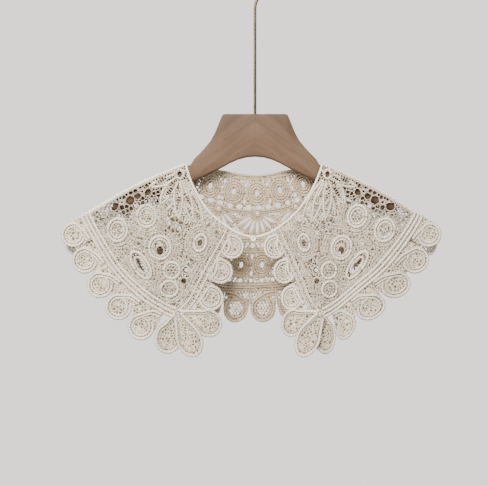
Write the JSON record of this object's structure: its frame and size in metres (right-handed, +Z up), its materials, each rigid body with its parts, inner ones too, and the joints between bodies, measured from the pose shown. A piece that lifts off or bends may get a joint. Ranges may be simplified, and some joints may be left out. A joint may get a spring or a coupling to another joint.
{
  "type": "lace collar on a clothes hanger",
  "caption": "Openwork lace collar with two pointed fronts and a scalloped petal edge, draped over a flat wooden hanger with a thin metal hook",
  "frame": {"origin": "the underside of the hook's crown, where the hanger hangs on a rail", "axes": "+Z up, +X to the right as the front is seen, -Y to the front"},
  "size_m": [0.3962, 0.0515, 0.4258],
  "materials": {
    "lace": "matte cream cotton lace, corded and stitched, openwork",
    "binding": "rolled cream cotton edge, matte",
    "wood": "pale beech, diagonal grain, satin lacquer",
    "brass": "thin drawn brass rod, polished",
    "button": "small thread-covered ring button"
  },
  "bodies": {
    "root": {"back": "lace", "front_left": "lace", "front_right": "lace", "hanger_left": "wood", "hanger_right": "wood", "hem_braid_back": "lace", "hook_rod": "brass", "inner_braid_left": "lace", "inner_braid_right": "lace", "neck_band_back": "binding", "neck_binding_left": "binding", "neck_binding_right": "binding", "neck_button": "button", "outer_braid_left": "lace", "outer_braid_right": "lace", "petal_back_01": "lace", "petal_back_02": "lace", "petal_back_03": "lace", "petal_back_04": "lace", "petal_back_05": "lace", "petal_back_06": "lace", "petal_back_07": "lace", "petal_back_08": "lace", "petal_back_09": "lace", "petal_back_10": "lace", "petal_back_11": "lace", "petal_back_12": "lace", "petal_back_13": "lace", "petal_back_14": "lace", "petal_left_01": "lace", "petal_left_02": "lace", "petal_left_03": "lace", "petal_left_04": "lace", "petal_left_05": "lace", "petal_left_06": "lace", "petal_left_07": "lace", "petal_left_08": "lace", "petal_left_09": "lace", "petal_left_10": "lace", "petal_left_11": "lace", "petal_right_01": "lace", "petal_right_02": "lace", "petal_right_03": "lace", "petal_right_04": "lace", "petal_right_05": "lace", "petal_right_06": "lace", "petal_right_07": "lace", "petal_right_08": "lace", "petal_right_09": "lace", "petal_right_10": "lace", "petal_right_11": "lace", "point_ring_left": "lace", "point_ring_right": "lace"}
  },
  "joints": []
}
